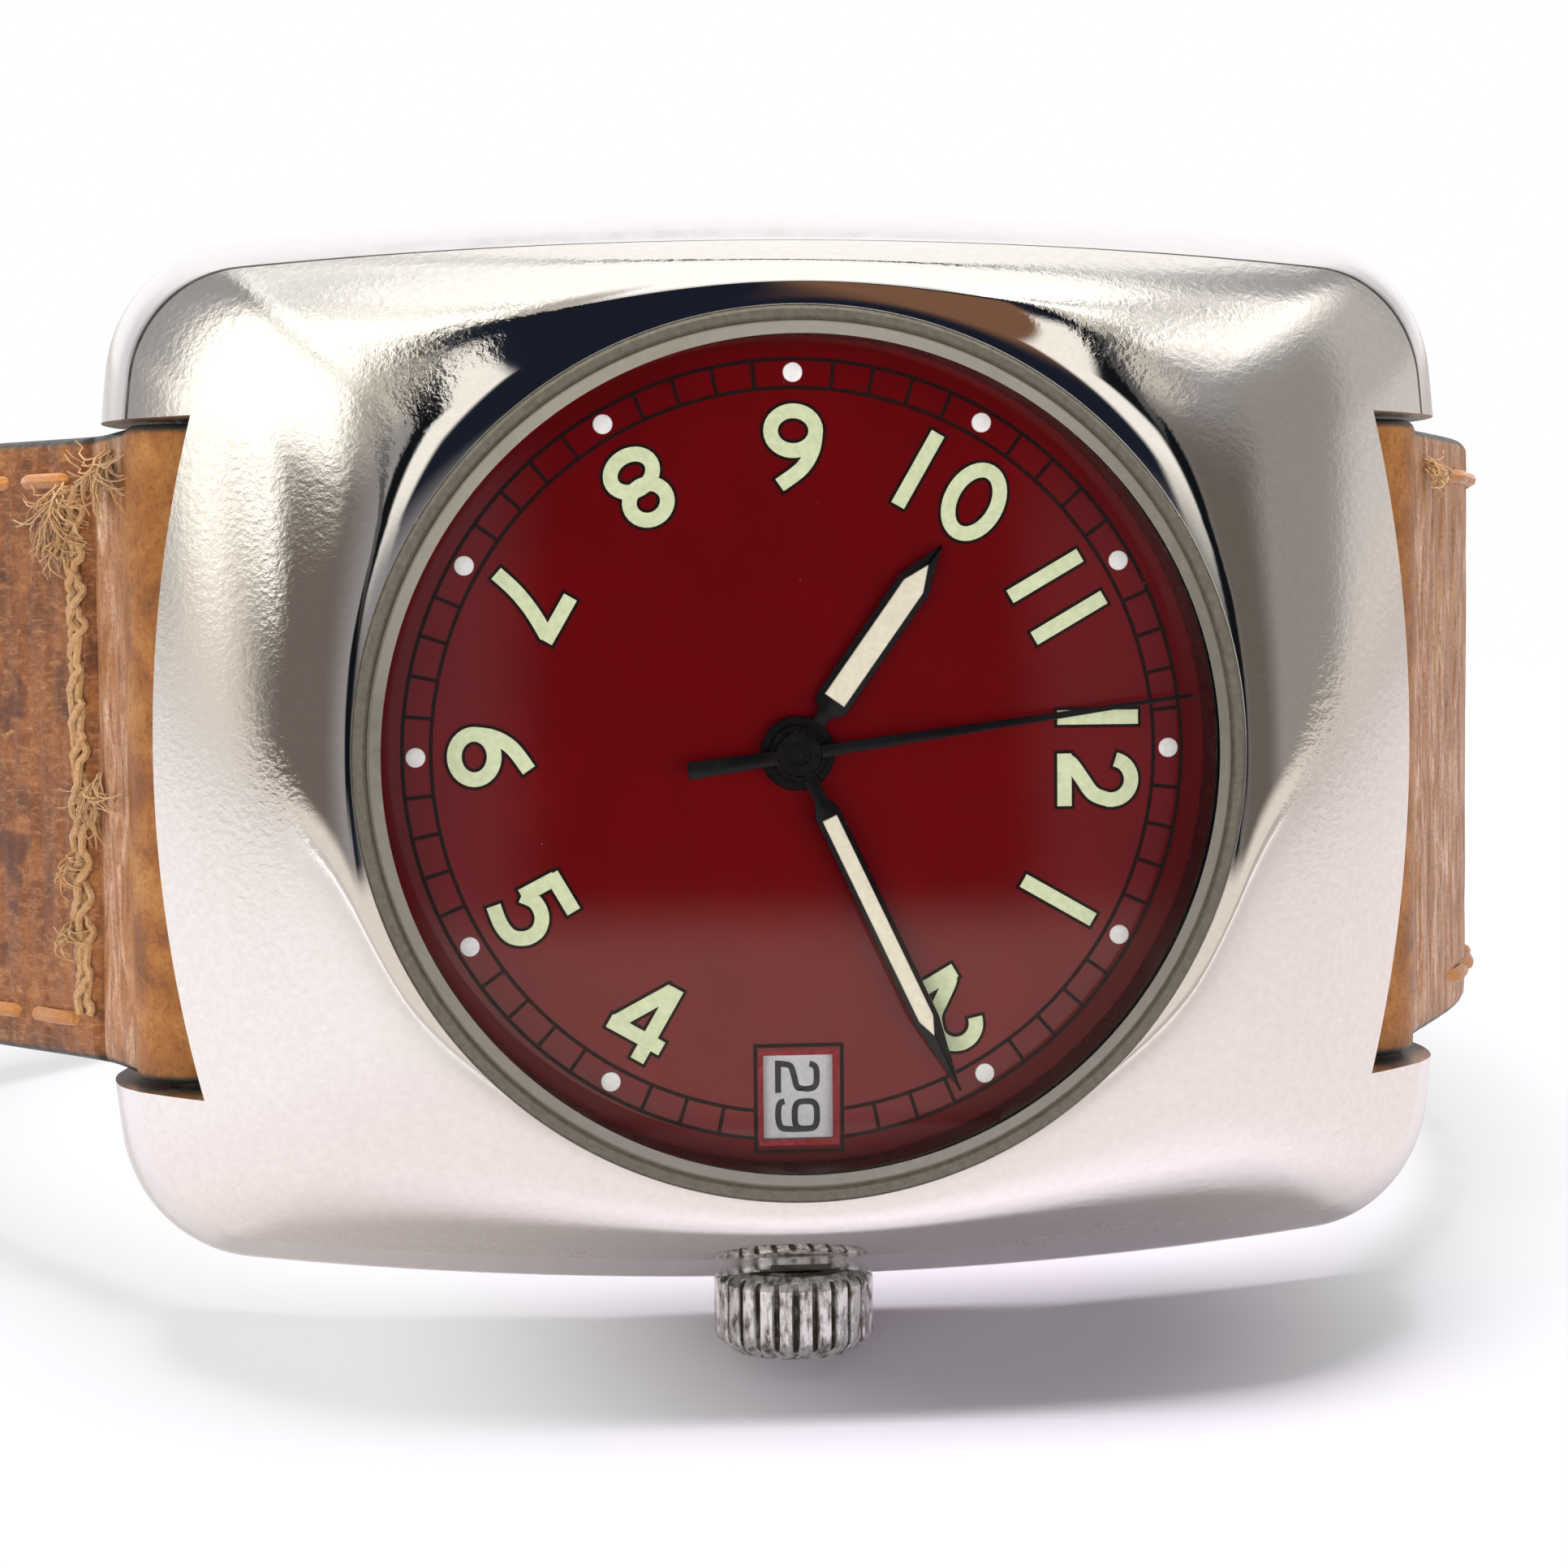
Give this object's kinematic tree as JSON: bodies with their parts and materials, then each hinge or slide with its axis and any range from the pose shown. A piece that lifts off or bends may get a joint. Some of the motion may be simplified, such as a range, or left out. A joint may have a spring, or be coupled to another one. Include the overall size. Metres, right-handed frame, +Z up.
{
  "type": "mechanical wrist watch",
  "caption": "Cushion-shaped steel wrist watch with a red dial, date, hand-wound movement and brown leather strap, standing on its crown",
  "frame": {"origin": "centre of the bounding box on the ground", "axes": "+Z up from the ground, dial facing -Y and leaning back, 12 o'clock towards +X, crown down"},
  "size_m": [0.0598, 0.0548, 0.0353],
  "materials": {
    "case_steel": "satin top with polished lip and sides",
    "crystal": "clear",
    "gasket": "matt",
    "leather": "oiled, worn",
    "dial_red": "gloss lacquer",
    "hand_black": "black",
    "lume": "matt",
    "date_white": "matt white",
    "plated_brass": "plated, grained",
    "gilt_brass": "gilt",
    "jewel": "polished",
    "works_steel": "polished",
    "blued_steel": "blued"
  },
  "bodies": {
    "case": {"case_body": "case_steel", "crystal": "crystal", "crystal_gasket": "gasket", "case_back": "case_steel", "case_back_gasket": "gasket", "case_tube": "case_steel", "spring_bars": "works_steel", "dial_plate": "dial_red", "date_jumper": "works_steel", "movement_ring": "plated_brass", "casing_clamps": "works_steel", "movement_screws": "blued_steel", "main_plate": "plated_brass", "barrel_bridge": "plated_brass", "train_bridge": "plated_brass", "balance_cock": "plated_brass", "pallet_bridge": "plated_brass", "jewels": "jewel", "mainspring": "blued_steel", "hairspring": "blued_steel", "strap_buckle_side": "leather", "strap_hole_side": "leather", "buckle_frame": "case_steel", "buckle_bar": "case_steel", "fixed_keeper": "leather"},
    "crown_slider": {"crown_gasket": "gasket"},
    "crown": {"crown": "case_steel", "winding_stem": "works_steel"},
    "stem_pinions": {"winding_pinion": "works_steel", "sliding_pinion": "works_steel"},
    "crown_wheel": {"crown_wheel": "works_steel"},
    "ratchet": {"ratchet_wheel": "works_steel", "barrel_arbor": "works_steel"},
    "click": {"click": "works_steel"},
    "barrel": {"barrel_drum": "gilt_brass", "barrel_cover": "gilt_brass"},
    "centre": {"centre_wheel": "gilt_brass", "cannon_pinion": "works_steel", "minute_hand": "hand_black", "minute_hand_lume": "lume"},
    "third": {"third_wheel": "gilt_brass"},
    "fourth": {"fourth_wheel": "gilt_brass", "seconds_hand": "hand_black"},
    "escape": {"escape_wheel": "works_steel"},
    "fork": {"pallet_fork": "works_steel"},
    "balance": {"balance_wheel": "gilt_brass"},
    "minute_wheel": {"minute_wheel": "gilt_brass"},
    "hour": {"hour_wheel": "gilt_brass", "hour_hand": "hand_black", "hour_hand_lume": "lume"},
    "setting_wheel": {"setting_wheel": "works_steel"},
    "date_wheel": {"date_wheel": "gilt_brass"},
    "date_ring": {"date_ring": "date_white"},
    "setting_lever": {"setting_lever": "works_steel"},
    "yoke": {"yoke": "works_steel"},
    "tongue": {"buckle_tongue": "case_steel"},
    "keeper": {"free_keeper": "leather"}
  },
  "joints": [
    {"name": "crown_pull", "type": "slide", "parent": "case", "child": "crown_slider", "axis": [0, -0.1642, -0.9864], "range_m": [0, 0.0013]},
    {"name": "crown_turn", "type": "hinge", "parent": "crown_slider", "child": "crown", "pos_m": [0.00267, -0.01999, 0.0189], "axis": [0, -0.1642, -0.9864], "continuous": true},
    {"name": "stem_pinions_turn", "type": "hinge", "parent": "case", "child": "stem_pinions", "pos_m": [0.00267, -0.01999, 0.0189], "axis": [0, -0.1642, -0.9864], "continuous": true},
    {"name": "crown_wheel_turn", "type": "hinge", "parent": "case", "child": "crown_wheel", "pos_m": [0.00267, -0.01961, 0.01143], "axis": [0, 0.9864, -0.1642], "continuous": true},
    {"name": "ratchet_turn", "type": "hinge", "parent": "case", "child": "ratchet", "pos_m": [0.00848, -0.01878, 0.01639], "axis": [0, 0.9864, -0.1642], "continuous": true},
    {"name": "click_lift", "type": "hinge", "parent": "case", "child": "click", "pos_m": [0.0087, -0.01774, 0.02268], "axis": [0, -0.9864, 0.1642], "range_deg": [0, 8]},
    {"name": "seconds_turn", "type": "hinge", "parent": "case", "child": "fourth", "pos_m": [0.00267, -0.0189, 0.01872], "axis": [0, 0.9864, -0.1642], "continuous": true},
    {"name": "minutes_turn", "type": "hinge", "parent": "case", "child": "centre", "pos_m": [0.00267, -0.02038, 0.01896], "axis": [0, 0.9864, -0.1642], "continuous": true},
    {"name": "hours_turn", "type": "hinge", "parent": "case", "child": "hour", "pos_m": [0.00267, -0.02137, 0.01913], "axis": [0, 0.9864, -0.1642], "continuous": true},
    {"name": "third_wheel_turn", "type": "hinge", "parent": "case", "child": "third", "pos_m": [0.00005, -0.0188, 0.02241], "axis": [0, 0.9864, -0.1642], "continuous": true},
    {"name": "barrel_turn", "type": "hinge", "parent": "case", "child": "barrel", "pos_m": [0.00848, -0.01977, 0.01655], "axis": [0, 0.9864, -0.1642], "continuous": true},
    {"name": "escape_wheel_turn", "type": "hinge", "parent": "case", "child": "escape", "pos_m": [-0.00055, -0.01989, 0.01584], "axis": [0, 0.9864, -0.1642], "continuous": true},
    {"name": "minute_wheel_turn", "type": "hinge", "parent": "case", "child": "minute_wheel", "pos_m": [0.00169, -0.02152, 0.01641], "axis": [0, 0.9864, -0.1642], "continuous": true},
    {"name": "setting_wheel_turn", "type": "hinge", "parent": "case", "child": "setting_wheel", "pos_m": [0.00267, -0.02204, 0.01324], "axis": [0, 0.9864, -0.1642], "continuous": true},
    {"name": "date_wheel_turn", "type": "hinge", "parent": "case", "child": "date_wheel", "pos_m": [0.00147, -0.02025, 0.02584], "axis": [0, 0.9864, -0.1642], "continuous": true},
    {"name": "date_advance", "type": "hinge", "parent": "case", "child": "date_ring", "pos_m": [0.00267, -0.02166, 0.01918], "axis": [0, 0.9864, -0.1642], "continuous": true},
    {"name": "pallet_swing", "type": "hinge", "parent": "case", "child": "fork", "pos_m": [-0.00241, -0.01941, 0.01751], "axis": [0, 0.9864, -0.1642], "range_deg": [-5, 5]},
    {"name": "balance_swing", "type": "hinge", "parent": "case", "child": "balance", "pos_m": [-0.00513, -0.01821, 0.01985], "axis": [0, 0.9864, -0.1642], "range_deg": [-270, 270]},
    {"name": "setting_lever_turn", "type": "hinge", "parent": "case", "child": "setting_lever", "pos_m": [-0.00023, -0.02304, 0.00785], "axis": [0, 0.9864, -0.1642], "range_deg": [0, 25.27]},
    {"name": "yoke_turn", "type": "hinge", "parent": "case", "child": "yoke", "pos_m": [0.00557, -0.0227, 0.00992], "axis": [0, 0.9864, -0.1642], "range_deg": [0, 4.5]},
    {"name": "tongue_lift", "type": "hinge", "parent": "case", "child": "tongue", "pos_m": [-0.01163, 0.01947, 0.01233], "axis": [0, -0.1642, -0.9864], "range_deg": [0, 6]},
    {"name": "keeper_slide", "type": "slide", "parent": "case", "child": "keeper", "axis": [1, 0, 0], "range_m": [-0.0022, 0.0022]}
  ],
  "couplings": [
    {"joint": "stem_pinions_turn", "follows": "crown_turn", "ratio": 1},
    {"joint": "crown_wheel_turn", "follows": "crown_turn", "ratio": -0.53333},
    {"joint": "ratchet_turn", "follows": "crown_turn", "ratio": 0.24242},
    {"joint": "minutes_turn", "follows": "seconds_turn", "ratio": 0.016667},
    {"joint": "hours_turn", "follows": "seconds_turn", "ratio": 0.0013889},
    {"joint": "minute_wheel_turn", "follows": "seconds_turn", "ratio": -0.0055556},
    {"joint": "setting_wheel_turn", "follows": "seconds_turn", "ratio": 0.01},
    {"joint": "date_wheel_turn", "follows": "seconds_turn", "ratio": -0.00069444},
    {"joint": "third_wheel_turn", "follows": "seconds_turn", "ratio": -0.13333},
    {"joint": "barrel_turn", "follows": "seconds_turn", "ratio": -0.002381},
    {"joint": "escape_wheel_turn", "follows": "seconds_turn", "ratio": -10},
    {"joint": "setting_lever_turn", "follows": "crown_pull", "rad_per_m": 339.19},
    {"joint": "yoke_turn", "follows": "crown_pull", "rad_per_m": 60.409}
  ]
}
